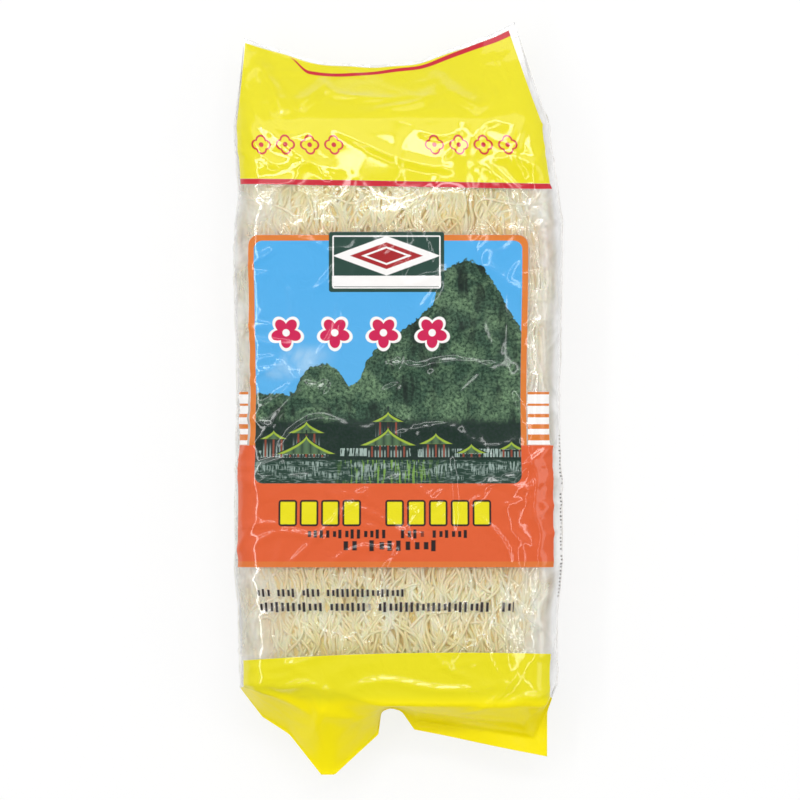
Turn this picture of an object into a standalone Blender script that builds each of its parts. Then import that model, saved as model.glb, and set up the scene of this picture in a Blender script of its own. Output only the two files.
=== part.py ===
"""Sealed film pack of dried rice vermicelli, lying on its back with the printed front up.

Row frame: +X to the pack's right, +Y towards its top end, +Z out of its front.
The origin is under the middle of the pack, at the level of the table it rests on.

The pack is one closed solid out to the outer shape of its film: a brick of noodles in the middle,
a flat film collar at the top end and a crumpled film tail at the bottom end.
"""

import math

import bmesh
import bpy

# Driving dimensions, in metres.
PACK_LENGTH = 0.3106
BODY_WIDTH = 0.1336
BODY_THICKNESS = 0.0460
CORNER_RADIUS = 0.0110
FILM_END_THICKNESS = 0.0020

# The noodle brick, along Y, counted from the middle of the pack's length. Its bottom end hangs lower
# from the middle to near its right corner.
BRICK_TOP = 0.1150
BRICK_BOTTOM = -0.1180
BOTTOM_BULGE = 0.0080
BULGE_START = -0.55
BULGE_RISE = 0.50
BULGE_END = 0.90
TOP_ROUNDING = 0.0030

# Softness of the filled body.
FRONT_CROWN = 0.0016
WAIST = 0.0005
WAIST_LENGTH = 0.1200
END_NARROWING = 0.0014
NARROWING_START = 0.0700
NARROWING_RUN = 0.0200
LUMP_HEIGHT = 0.0007
LUMP_LENGTH = 0.0430
LUMP_WIDTH = 0.0370

# The top end leans to the left, and its front slopes down, more so on the left.
LEAN = -0.0030
LEAN_START = 0.0800
LEAN_RUN = 0.0350
END_FALL = 0.0042
END_FALL_START = 0.0840
END_FALL_POWER = 1.4
END_FALL_TILT = 0.35

# The collar at the top end: its edge dips between two raised corners.
COLLAR_EDGE = (
    (-0.0633, 0.1480),
    (-0.0470, 0.1430),
    (-0.0300, 0.1388),
    (-0.0150, 0.1379),
    (0.0000, 0.1386),
    (0.0140, 0.1415),
    (0.0250, 0.1450),
    (0.0330, 0.1485),
    (0.0481, PACK_LENGTH / 2),
)
COLLAR_HEIGHT = 0.0260
COLLAR_SAG = 0.0040
COLLAR_PLEATS = 3.0
COLLAR_PLEAT_HEIGHT = 0.0022

# The tail at the bottom end: a fold in the middle parts its edge into two flaps.
TAIL_BOTTOM = -PACK_LENGTH / 2
TAIL_EDGE = (
    (-0.0655, BRICK_BOTTOM - 0.0010),
    (-0.0560, -0.1315),
    (-0.0448, -0.1388),
    (-0.0316, TAIL_BOTTOM),
    (-0.0260, TAIL_BOTTOM),
    (-0.0080, -0.1388),
    (-0.0068, -0.1293),
    (-0.0030, -0.1277),
    (0.0015, -0.1290),
    (0.0068, -0.1367),
    (0.0617, -0.1479),
    (0.0617, -0.1293),
    (0.0655, BRICK_BOTTOM - 0.0010),
)
TAIL_HEIGHT = 0.0240
TAIL_LEFT_SAG = 0.0020
TAIL_PLEATS = 4.0
TAIL_PLEAT_HEIGHT = 0.0030

# How finely the solid is faceted.
EDGE_STEP = 0.0060
ARC_STEPS = 4
SIDE_STEPS = 4
BODY_STATIONS = 17
END_STATIONS = 11

# The part of an end's length in which the film comes down from the brick to the flat film, and how
# much of that descent is a gentle curve and not a straight slope.
SHOULDER = 0.95
SHOULDER_CURVE = 0.35

FILM_COLOUR = (0.78, 0.72, 0.45, 1.0)
FILM_ROUGHNESS = 0.25


def clear_scene():
    """Removes what the file starts with."""
    for obj in list(bpy.data.objects):
        bpy.data.objects.remove(obj, do_unlink=True)


def mix(a, b, share):
    """The value that lies this share of the way from a to b."""
    return a + (b - a) * share


def ease(share):
    """A share from 0 to 1 that starts and ends gently."""
    share = min(max(share, 0.0), 1.0)
    return share * share * (3 - 2 * share)


def tail_places():
    """The tail edge's points with further ones between, each as (w, x, y), w running from -1 to 1."""
    lengths = [math.dist(a, b) for a, b in zip(TAIL_EDGE, TAIL_EDGE[1:])]
    total = sum(lengths)
    places, run = [], 0.0
    for start, end, length in zip(TAIL_EDGE, TAIL_EDGE[1:], lengths):
        steps = max(1, round(length / EDGE_STEP))
        for step in range(steps):
            share = step / steps
            w = 2 * (run + share * length) / total - 1
            places.append((w, mix(start[0], end[0], share), mix(start[1], end[1], share)))
        run += length
    places.append((1.0, *TAIL_EDGE[-1]))
    return places


def collar_place(w):
    """The collar's edge at w, as (x, y)."""
    x = mix(COLLAR_EDGE[0][0], COLLAR_EDGE[-1][0], (w + 1) / 2)
    for (x0, y0), (x1, y1) in zip(COLLAR_EDGE, COLLAR_EDGE[1:]):
        if x <= x1:
            return x, mix(y0, y1, (x - x0) / (x1 - x0))
    return COLLAR_EDGE[-1]


def brick_top(w):
    """Where the brick's top end is at w: it turns down a little at its corners."""
    return BRICK_TOP - TOP_ROUNDING * abs(w) ** 3


def brick_bottom(w):
    """Where the brick's bottom end is at w."""
    bulge = ease((w - BULGE_START) / BULGE_RISE) * (1 - ease((w - BULGE_END) / (1 - BULGE_END)))
    return BRICK_BOTTOM - BOTTOM_BULGE * bulge


def half_width(y):
    """Half the body's width at y: it draws in a little at its waist and towards its ends."""
    narrowing = END_NARROWING * ease((abs(y) - NARROWING_START) / NARROWING_RUN)
    return BODY_WIDTH / 2 - WAIST * math.cos(math.tau * y / WAIST_LENGTH) - narrowing


def lean(y):
    """How far the body's middle lies to the side at y."""
    return LEAN * ease((y - LEAN_START) / LEAN_RUN)


def end_fall(w, y):
    """How far the front has sloped down at w and y, towards the top end."""
    reach = min(max((y - END_FALL_START) / (BRICK_TOP - END_FALL_START), 0.0), 1.0)
    return END_FALL * (1 - END_FALL_TILT * w) * reach**END_FALL_POWER


def corner_drop(w):
    """How far the front or back face has turned down at w, over the rounded edges."""
    inside = BODY_WIDTH / 2 * (1 - abs(w))
    if inside >= CORNER_RADIUS:
        return 0.0
    reach = 1 - inside / CORNER_RADIUS
    return CORNER_RADIUS * (1 - math.sqrt(1 - reach * reach))


def front_height(w, y):
    """The front film's height over the table at w and y: crowned, with low lumps."""
    crown = FRONT_CROWN * (1 - w * w)
    lumps = LUMP_HEIGHT * math.cos(math.tau * y / LUMP_LENGTH) * math.sin(w * BODY_WIDTH / LUMP_WIDTH)
    swell = crown + lumps * (1 - w * w)
    return BODY_THICKNESS - FRONT_CROWN + swell - corner_drop(w) - end_fall(w, y)


def chain_positions(edge_places):
    """The positions w across the pack at which every station has a front and a back point."""
    inner = [w for w, _, _ in edge_places]
    flat_end = 1 - 2 * CORNER_RADIUS / BODY_WIDTH
    arcs = []
    for step in range(1, ARC_STEPS + 1):
        turn = math.pi / 2 * step / (ARC_STEPS + 1)
        arcs.append(flat_end + (1 - flat_end) * math.sin(turn))
    extra = [side * w for w in arcs for side in (-1, 1)]
    least_gap = 0.3 * (1 - flat_end) / ARC_STEPS
    extra = [w for w in extra if min(abs(w - v) for v in inner) > least_gap]
    return sorted(inner + extra)


def along_tail(w, places):
    """The tail's edge at w, as (x, y)."""
    for (w0, x0, y0), (w1, x1, y1) in zip(places, places[1:]):
        if w <= w1:
            share = (w - w0) / (w1 - w0)
            return mix(x0, x1, share), mix(y0, y1, share)
    return places[-1][1:]


def body_station(share, positions):
    """The body's points this share of the way down the brick: for each w, (x, y, front z, back z)."""
    points = []
    for w in positions:
        y = mix(brick_top(w), brick_bottom(w), share)
        points.append((half_width(y) * w + lean(y), y, front_height(w, y), corner_drop(w)))
    return points


def end_station(share, positions, brick_end, edge, flat_height):
    """The film's points this share of the way from the brick's end to the film's edge.

    brick_end(w) gives the y at which the film leaves the brick, edge(w) the edge's (x, y), and
    flat_height(w) the height of the flat film's middle.
    """
    thin = FILM_END_THICKNESS / 2
    descent = min(share / SHOULDER, 1.0)
    closing = mix(descent, ease(descent), SHOULDER_CURVE)
    points = []
    for w in positions:
        start_y = brick_end(w)
        edge_x, edge_y = edge(w)
        x = mix(half_width(start_y) * w + lean(start_y), edge_x, share)
        y = mix(start_y, edge_y, share)
        height = flat_height(w)
        front = mix(front_height(w, start_y), height + thin, closing)
        back = mix(corner_drop(w), height - thin, closing)
        points.append((x, y, front, back))
    return points


def ring(bm, station):
    """Adds one station's closed ring of vertices: across the front, down the right side and back."""
    front = [bm.verts.new((x, y, top)) for x, y, top, _ in station]
    back = [bm.verts.new((x, y, under)) for x, y, _, under in station]
    sides = []
    for x, y, top, under in (station[-1], station[0]):
        steps = [mix(top, under, step / SIDE_STEPS) for step in range(1, SIDE_STEPS)]
        sides.append([bm.verts.new((x, y, z)) for z in steps])
    right, left = sides
    return front + right + back[::-1] + left[::-1], front, back, right, left


def skin(bm, first, second):
    """Faces between two neighbouring rings, facing out when first is nearer the top end."""
    for i in range(len(first)):
        j = (i + 1) % len(first)
        bm.faces.new((first[i], second[i], second[j], first[j]))


def cap(bm, front, back, right, left):
    """Closes the pack at the narrow edge of a film end."""
    for i in range(len(front) - 1):
        corners = [front[i], front[i + 1], back[i + 1], back[i]]
        if i == 0:
            corners += left[::-1]
        if i == len(front) - 2:
            corners[2:2] = right
        bm.faces.new(corners)


def pack_stations():
    """Every station of the pack, from the collar's edge to the tail's edge."""
    places = tail_places()
    positions = chain_positions(places)

    def collar_height(w):
        pleats = COLLAR_PLEAT_HEIGHT * math.sin(math.pi * COLLAR_PLEATS * w)
        return COLLAR_HEIGHT - COLLAR_SAG * (1 - w * w) + pleats * (1 - w * w)

    def tail_edge(w):
        return along_tail(w, places)

    def tail_height(w):
        pleats = TAIL_PLEAT_HEIGHT * math.cos(math.pi * TAIL_PLEATS * w)
        return TAIL_HEIGHT - TAIL_LEFT_SAG * ease(-w) + pleats * (1 - w * w)

    shares = [step / END_STATIONS for step in range(1, END_STATIONS + 1)]
    collar = [
        end_station(share, positions, brick_top, collar_place, collar_height)
        for share in reversed(shares)
    ]
    body = [body_station(step / BODY_STATIONS, positions) for step in range(BODY_STATIONS + 1)]
    tail = [
        end_station(share, positions, brick_bottom, tail_edge, tail_height)
        for share in shares
    ]
    return collar + body + tail


def film_material():
    """The printed clear film, as one plain finish."""
    material = bpy.data.materials.new("printed_film")
    material.use_nodes = True
    surface = material.node_tree.nodes["Principled BSDF"]
    surface.inputs["Base Color"].default_value = FILM_COLOUR
    surface.inputs["Roughness"].default_value = FILM_ROUGHNESS
    surface.inputs["Metallic"].default_value = 0.0
    return material


def build_pack():
    """The sealed pack as one closed solid, centred over the origin and resting on z = 0."""
    bm = bmesh.new()
    rings = [ring(bm, station) for station in pack_stations()]
    for first, second in zip(rings, rings[1:]):
        skin(bm, first[0], second[0])
    cap(bm, *rings[0][1:])
    cap(bm, *rings[-1][1:])
    bmesh.ops.recalc_face_normals(bm, faces=bm.faces)
    xs = [v.co.x for v in bm.verts]
    ys = [v.co.y for v in bm.verts]
    middle = ((min(xs) + max(xs)) / 2, (min(ys) + max(ys)) / 2)
    bmesh.ops.translate(bm, verts=bm.verts, vec=(-middle[0], -middle[1], 0.0))
    mesh = bpy.data.meshes.new("sealed_bag")
    bm.to_mesh(mesh)
    bm.free()
    mesh.materials.append(film_material())
    mesh.shade_smooth()
    mesh.set_sharp_from_angle(angle=math.radians(50))
    bag = bpy.data.objects.new("sealed_bag", mesh)
    bpy.context.scene.collection.objects.link(bag)
    return bag


clear_scene()
build_pack()
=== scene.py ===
"""Looks of a sealed film pack of dried rice vermicelli that lies on its back, printed front up.

The pack is a loose bag of clear glossy film round a brick of noodles. Opaque inks cover part of the
film: yellow bands at both ends, and on the front a framed landscape over a red-orange block. The
noodles are real strands that run over a core, and they show through the clear film.
"""

import logging
import math
from dataclasses import dataclass, field
from enum import Enum

import bpy
import numpy as np
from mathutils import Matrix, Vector

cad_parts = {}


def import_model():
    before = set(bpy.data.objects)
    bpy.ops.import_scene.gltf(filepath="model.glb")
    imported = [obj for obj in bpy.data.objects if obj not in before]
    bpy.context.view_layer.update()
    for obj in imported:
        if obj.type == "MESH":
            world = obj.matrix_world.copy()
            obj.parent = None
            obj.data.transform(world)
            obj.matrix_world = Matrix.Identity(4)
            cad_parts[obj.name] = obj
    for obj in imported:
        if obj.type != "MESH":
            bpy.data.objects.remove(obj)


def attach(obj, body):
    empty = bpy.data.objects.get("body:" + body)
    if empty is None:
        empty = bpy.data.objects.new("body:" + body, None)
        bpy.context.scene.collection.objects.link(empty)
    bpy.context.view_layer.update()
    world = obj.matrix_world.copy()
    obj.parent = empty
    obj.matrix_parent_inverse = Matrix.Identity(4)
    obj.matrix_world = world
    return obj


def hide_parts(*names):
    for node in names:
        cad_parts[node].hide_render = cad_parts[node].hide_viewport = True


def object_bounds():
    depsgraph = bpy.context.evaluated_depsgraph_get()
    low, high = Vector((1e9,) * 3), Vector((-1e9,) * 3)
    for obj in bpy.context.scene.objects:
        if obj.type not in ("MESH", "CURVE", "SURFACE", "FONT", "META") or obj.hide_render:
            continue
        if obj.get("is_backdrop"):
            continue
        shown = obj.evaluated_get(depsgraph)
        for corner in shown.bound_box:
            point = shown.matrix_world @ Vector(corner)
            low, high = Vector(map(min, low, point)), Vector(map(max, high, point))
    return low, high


LOG = logging.getLogger("vermicelli_pack")
MM = 0.001


# --- Small sums ---


def mix(a, b, share):
    """The value that lies this share of the way from a to b, for numbers and arrays alike."""
    return a + (b - a) * share


def ease(share):
    """A share from 0 to 1, for numbers and arrays alike, that starts and ends gently."""
    share = np.clip(share, 0.0, 1.0)
    return share * share * (3 - 2 * share)


def ink(red: int, green: int, blue: int) -> tuple:
    """A printed colour given as display values from 0 to 255.

    Args:
        red: The red display value.
        green: The green display value.
        blue: The blue display value.

    Returns:
        The same colour in scene-linear numbers, with an alpha of 1.
    """
    shades = [value / 255 for value in (red, green, blue)]
    linear = [s / 12.92 if s <= 0.04045 else ((s + 0.055) / 1.055) ** 2.4 for s in shades]
    return (*linear, 1.0)


def wave_field(across: np.ndarray, along: np.ndarray, length: float, seed: int, waves: int = 16):
    """A smooth random relief: the sum of plane waves in random directions.

    Args:
        across: Places across the surface, in metres.
        along: Places along the surface, in metres.
        length: The waves' typical length in metres.
        seed: What makes this relief differ from others.
        waves: How many waves are added up.

    Returns:
        Heights at those places, about 1 high.
    """
    rng = np.random.default_rng(seed)
    total = np.zeros_like(across)
    for _ in range(waves):
        heading = rng.uniform(0, math.pi)
        pace = math.tau / (length * rng.uniform(0.7, 1.5))
        total += np.sin(
            pace * (across * math.cos(heading) + along * math.sin(heading)) + rng.uniform(0, math.tau)
        )
    return total / math.sqrt(waves / 2)


# --- The shape of the pack ---


@dataclass(frozen=True)
class PackShape:
    """Where the film runs: round the brick in the middle, and flat at the collar and the tail.

    A place on the film is given by u, its distance round the pack from the middle of the front, and
    by how far along the pack it is. w is the same place across, from -1 at one side to 1 at the other.
    """

    low: tuple
    high: tuple
    corner: float = 0.011
    crown: float = 0.0016
    waist: float = 0.0005
    waist_length: float = 0.120
    narrowing: float = 0.0014
    narrowing_start: float = 0.070
    narrowing_run: float = 0.020
    middle: float = 0.0003
    lean: float = -0.0030
    lean_start: float = 0.080
    lean_run: float = 0.035
    lump: float = 0.0007
    brick_top: float = 0.1150
    top_round: float = 0.0030
    end_fall: float = 0.0042
    end_fall_start: float = 0.0840
    end_fall_tilt: float = 0.35
    brick_bottom: float = -0.1180
    bottom_bulge: float = 0.0080
    panel: float = 0.0680
    shoulder: float = 0.95
    collar_length: float = 0.038
    tail_length: float = 0.034
    collar_points: tuple = (
        (-0.0633, 0.1487), (-0.0489, 0.1440), (-0.0365, 0.1400), (-0.0241, 0.1384),
        (-0.0118, 0.1384), (0.0006, 0.1381), (0.0130, 0.1412), (0.0254, 0.1458),
        (0.0377, 0.1500), (0.0481, 0.1553),
    )
    tail_edge: tuple = (
        (-0.0655, -0.1190), (-0.0560, -0.1315), (-0.0448, -0.1388), (-0.0316, -0.1553),
        (-0.0260, -0.1553), (-0.0080, -0.1388), (-0.0068, -0.1293), (-0.0030, -0.1277),
        (0.0015, -0.1290), (0.0068, -0.1367), (0.0617, -0.1479), (0.0617, -0.1293),
        (0.0655, -0.1190),
    )

    @property
    def thickness(self) -> float:
        """The brick's height over the table, without the lumps."""
        return self.high[2] - self.low[2] - self.lump / 2

    @property
    def half(self) -> float:
        """Half the body's plain width."""
        return self.high[0] - self.middle - self.waist

    @property
    def flat_run(self) -> float:
        """How far u runs over the flat front before the corner starts."""
        return self.half - self.corner

    @property
    def side_run(self) -> float:
        """How far u runs down the straight side."""
        return self.thickness - 2 * self.corner

    @property
    def seam(self) -> float:
        """u at the seam down the middle of the back: half the way round the pack."""
        return 2 * self.flat_run + math.pi * self.corner + self.side_run

    def half_width(self, y):
        """Half the body's width at y: it draws in a little at its waist and towards its ends."""
        waist = self.waist * np.cos(math.tau * y / self.waist_length)
        narrowing = self.narrowing * ease((np.abs(y) - self.narrowing_start) / self.narrowing_run)
        return self.half - waist - narrowing

    def middle_at(self, y):
        """x of the body's middle at y: the top end leans to the left."""
        return self.middle + self.lean * ease((y - self.lean_start) / self.lean_run)

    def across(self, u):
        """w for each u, on the front and on the back."""
        inward = np.minimum(np.abs(u), self.seam - np.abs(u))
        return np.sign(u) * np.clip(inward / self.panel, 0.0, 1.0)

    def top_of_brick(self, w):
        """y at which the film leaves the brick's top end."""
        return self.brick_top - self.top_round * np.abs(w) ** 3

    def bottom_of_brick(self, w):
        """y at which the film leaves the brick's bottom end, which hangs lower to the right."""
        bulge = ease((w + 0.55) / 0.5) * (1 - ease((w - 0.9) / 0.1))
        return self.brick_bottom - self.bottom_bulge * bulge

    def collar_edge(self, w):
        """The collar's free edge: it dips between its raised corners.

        Args:
            w: Places across the pack, from -1 to 1.

        Returns:
            The edge's x and y at those places.
        """
        points = np.array(self.collar_points)
        x = mix(points[0, 0], points[-1, 0], (w + 1) / 2)
        curve = smooth_line(points, 6)
        return x, np.interp(x, curve[:, 0], curve[:, 1])

    def tail_edge_at(self, w):
        """The tail's free edge, at w measured along that edge.

        Args:
            w: Places across the pack, from -1 to 1.

        Returns:
            The edge's x and y at those places.
        """
        points = np.array(self.tail_edge)
        runs = np.hypot(*np.diff(points, axis=0).T)
        marks = np.concatenate(([0.0], np.cumsum(runs)))
        marks = 2 * marks / marks[-1] - 1
        return np.interp(w, marks, points[:, 0]), np.interp(w, marks, points[:, 1])

    def fall(self, u, y):
        """How far the front has sloped down at u and y, towards the top end and more so on the left."""
        reach = np.clip((y - self.end_fall_start) / (self.brick_top - self.end_fall_start), 0, 1)
        tilt = 1 - self.end_fall_tilt * np.clip(u / self.panel, -1, 1)
        return self.end_fall * tilt * reach**1.4

    def section(self, u, y):
        """The brick's outline at y, seen along the pack.

        Args:
            u: Places round the pack.
            y: Places along the pack.

        Returns:
            x and z of those places, and the x and z of the direction that points out there.
        """
        turn = math.pi / 2 * self.corner
        run = np.abs(u)
        front = np.minimum(run, self.flat_run)
        first = np.clip((run - self.flat_run) / self.corner, 0.0, math.pi / 2)
        down = np.clip(run - self.flat_run - turn, 0.0, self.side_run)
        second = np.clip((run - self.flat_run - turn - self.side_run) / self.corner, 0.0, math.pi / 2)
        back = np.clip(run - self.flat_run - 2 * turn - self.side_run, 0.0, None)
        spread = self.half_width(y) / self.half
        x = front + self.corner * (np.sin(first) + np.cos(second) - 1) - back
        z = self.thickness - self.corner * (1 - np.cos(first)) - down - self.corner * np.sin(second)
        out_x = np.sin(first) * np.cos(second)
        out_z = np.cos(first) - np.sin(second)
        crown = self.crown * (1 - np.clip(run / self.flat_run, 0, 1) ** 2) - self.crown
        side = np.sign(u)
        z = z + (crown - self.fall(u, y)) * np.clip(z / self.thickness, 0, 1)
        return side * x * spread + self.middle_at(y), z, side * out_x, out_z


@dataclass(frozen=True)
class Fold:
    """A crease in the film, along a smooth line on its front.

    Attributes:
        points: Where it runs, as (u, y) in millimetres.
        height: How far its crest stands out, in millimetres, or less than 0 for a groove.
        width: How far its flanks reach, in millimetres.
    """

    points: tuple
    height: float
    width: float

    def relief(self, u: np.ndarray, v: np.ndarray) -> np.ndarray:
        """What this fold adds to the film's height at u and v, in metres."""
        line = smooth_line(np.array(self.points, float) * MM, 3)
        reach = self.width * MM
        low, high = line.min(0) - reach, line.max(0) + reach
        near = (u > low[0]) & (u < high[0]) & (v > low[1]) & (v < high[1])
        places = np.stack((u[near], v[near]), axis=-1)
        best = np.full(len(places), np.inf)
        taper = np.zeros(len(places))
        count = len(line) - 1
        for index in range(count):
            start, step = line[index], line[index + 1] - line[index]
            share = np.clip(((places - start) @ step) / (step @ step), 0.0, 1.0)
            distance = np.hypot(*(places - start - share[:, None] * step).T)
            closer = distance < best
            best = np.where(closer, distance, best)
            taper = np.where(closer, (index + share) / count, taper)
        result = np.zeros_like(u)
        fade = np.sqrt(np.clip(np.sin(math.pi * taper), 0, 1))
        flank = np.clip(1 - best / (self.width * MM), 0, 1)
        result[near] = self.height * MM * fade * flank**1.25
        return result


def smooth_line(points: np.ndarray, steps: int) -> np.ndarray:
    """A smooth curve through points.

    Args:
        points: The places that it passes, one in each row.
        steps: How many stretches each gap between two of them gets.

    Returns:
        The curve's places, one in each row.
    """
    padded = np.vstack((2 * points[0] - points[1], points, 2 * points[-1] - points[-2]))
    result = []
    for a, b, c, d in zip(padded, padded[1:], padded[2:], padded[3:]):
        for step in range(steps):
            t = step / steps
            bend = (2 * a - 5 * b + 4 * c - d) * t**2 + (3 * b - a - 3 * c + d) * t**3
            result.append(0.5 * (2 * b + (c - a) * t + bend))
    result.append(points[-1])
    return np.array(result)


# --- Shader maths ---


class Operation(Enum):
    """The sums that a Math node does."""

    ADD = "ADD"
    SUBTRACT = "SUBTRACT"
    MULTIPLY = "MULTIPLY"
    ABSOLUTE = "ABSOLUTE"
    POWER = "POWER"
    LEAST = "MINIMUM"
    MOST = "MAXIMUM"
    FLOOR = "FLOOR"
    COSINE = "COSINE"
    ANGLE = "ARCTAN2"


class Number:
    """A number that changes over a surface: a socket that takes part in Python expressions."""

    def __init__(self, tree: "Tree", socket) -> None:
        """Wraps a socket of a node tree."""
        self.tree = tree
        self.socket = socket

    def _with(self, operation: Operation, *others) -> "Number":
        """The result of a Math node on this number and others."""
        values = dict(enumerate((self, *others)))
        node = self.tree.node("ShaderNodeMath", {"operation": operation.value}, values)
        return Number(self.tree, node.outputs[0])

    def __add__(self, other) -> "Number":
        """This number and another."""
        return self._with(Operation.ADD, other)

    __radd__ = __add__

    def __sub__(self, other) -> "Number":
        """This number less another."""
        return self._with(Operation.SUBTRACT, other)

    def __rsub__(self, other) -> "Number":
        """Another number less this one."""
        return self * -1.0 + other

    def __mul__(self, other) -> "Number":
        """This number times another."""
        return self._with(Operation.MULTIPLY, other)

    __rmul__ = __mul__

    def __abs__(self) -> "Number":
        """This number without its sign."""
        return self._with(Operation.ABSOLUTE)

    def __pow__(self, power: float) -> "Number":
        """This number to a power."""
        return self._with(Operation.POWER, power)

    def least(self, other) -> "Number":
        """The smaller of this number and another."""
        return self._with(Operation.LEAST, other)

    def most(self, other) -> "Number":
        """The larger of this number and another."""
        return self._with(Operation.MOST, other)

    def floor(self) -> "Number":
        """The whole number at or under this one."""
        return self._with(Operation.FLOOR)

    def cosine(self) -> "Number":
        """The cosine of this number, in radians."""
        return self._with(Operation.COSINE)

    def angle_with(self, x: "Number") -> "Number":
        """The direction, in radians, of the point x along and this number up."""
        return self._with(Operation.ANGLE, x)

    def rise(self, start: float, end: float) -> "Number":
        """A share that goes from 0 at start to 1 at end, gently, whichever of the two is larger."""
        node = self.tree.node(
            "ShaderNodeMapRange",
            {"interpolation_type": "SMOOTHSTEP"},
            {"Value": self, "From Min": start, "From Max": end},
        )
        return Number(self.tree, node.outputs["Result"])

    def inside(self, soft: float = 0.15) -> "Number":
        """1 where this distance is under 0, 0 where it is over, with an edge this soft."""
        return self.rise(soft, -soft)

    def inside_of(self, half: float) -> "Number":
        """1 where this distance is under half, and 0 where it is over."""
        return (self - half).inside()


class Tree:
    """The nodes of one material or world."""

    def __init__(self, owner) -> None:
        """Empties the node tree of a material or a world."""
        self.owner = owner
        owner.use_nodes = True
        self.nodes = owner.node_tree.nodes
        self.links = owner.node_tree.links
        self.nodes.clear()

    @classmethod
    def of_material(cls, name: str) -> "Tree":
        """The nodes of a new material of this name."""
        return cls(bpy.data.materials.new(name))

    def node(self, kind: str, settings: dict = None, values: dict = None):
        """Adds a node.

        Args:
            kind: The node's type.
            settings: Its own settings, which are set first.
            values: What its sockets, by name or number, hold: a plain value, a Number or a socket.

        Returns:
            The node.
        """
        node = self.nodes.new(kind)
        for name, setting in (settings or {}).items():
            setattr(node, name, setting)
        for name, value in (values or {}).items():
            value = value.socket if isinstance(value, Number) else value
            if isinstance(value, bpy.types.NodeSocket):
                self.links.new(value, node.inputs[name])
            else:
                node.inputs[name].default_value = value
        return node

    def shader(self, kind: str, values: dict = None):
        """The output of a new shader node of this kind."""
        return self.node("ShaderNode" + kind, {}, values).outputs[0]

    def layered(self, share, under, over):
        """A shader that goes from under to over as share goes from 0 to 1."""
        return self.shader("MixShader", {0: share, 1: under, 2: over})

    def part(self, vector, index: int) -> Number:
        """One of a vector's three parts."""
        return Number(self, self.node("ShaderNodeSeparateXYZ", {}, {0: vector}).outputs[index])

    def blend(self, share, first, second):
        """A colour that goes from the first to the second as share goes from 0 to 1."""
        node = self.node("ShaderNodeMix", {"data_type": "RGBA"}, {0: share, 6: first, 7: second})
        return node.outputs[2]

    def noise(self, place, scale: float, detail: float = 2.0, distortion: float = 0.0) -> Number:
        """Smooth noise from 0 to 1.

        Args:
            place: The socket with the place that it is read at.
            scale: How many lumps fit in a unit of length.
            detail: How many finer layers it has.
            distortion: How far the lumps are pulled about.

        Returns:
            The noise.
        """
        values = {"Vector": place, "Scale": scale, "Detail": detail, "Distortion": distortion}
        return Number(self, self.node("ShaderNodeTexNoise", {}, values).outputs[0])

    def chance(self, seed: Number) -> Number:
        """A random number from 0 to 1 that stays the same for the same seed."""
        node = self.node("ShaderNodeTexWhiteNoise", {"noise_dimensions": "1D"}, {"W": seed})
        return Number(self, node.outputs["Value"])

    def stretched(self, place, scale: tuple):
        """The place with each of its three parts multiplied by a number of its own."""
        node = self.node("ShaderNodeVectorMath", {"operation": "MULTIPLY"}, {0: place, 1: scale})
        return node.outputs[0]

    def bump(self, height: Number, distance: float, strength: float = 1.0):
        """A normal bent by a height, which counts in units of distance."""
        values = {"Height": height, "Distance": distance, "Strength": strength}
        return self.node("ShaderNodeBump", {}, values).outputs[0]

    def finish(self, shader, output: str = "ShaderNodeOutputMaterial"):
        """Puts this shader on the surface, and returns the material or world."""
        self.node(output, {}, {"Surface": shader})
        return self.owner


# --- The print ---


@dataclass(frozen=True)
class Inks:
    """The inks of the print."""

    yellow: tuple = ink(231, 220, 16)
    deep_yellow: tuple = ink(250, 232, 0)
    red: tuple = ink(200, 26, 46)
    orange: tuple = ink(220, 124, 50)
    red_orange: tuple = ink(222, 94, 48)
    strip: tuple = ink(220, 116, 50)
    white: tuple = ink(246, 244, 242)
    black: tuple = ink(38, 30, 30)
    magenta: tuple = ink(205, 28, 82)
    badge: tuple = ink(40, 72, 62)
    badge_red: tuple = ink(168, 38, 42)
    sky_high: tuple = ink(78, 172, 232)
    sky_low: tuple = ink(88, 174, 230)
    cloud: tuple = ink(206, 228, 240)
    hill_dark: tuple = ink(20, 46, 34)
    hill_mid: tuple = ink(72, 104, 82)
    hill_light: tuple = ink(118, 150, 112)
    cleft: tuple = ink(16, 30, 26)
    roof: tuple = ink(158, 184, 60)
    tile: tuple = ink(104, 138, 96)
    eaves: tuple = ink(34, 50, 46)
    wall: tuple = ink(160, 180, 172)
    post: tuple = ink(136, 70, 52)
    water: tuple = ink(34, 62, 50)
    glint: tuple = ink(126, 170, 70)


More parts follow.
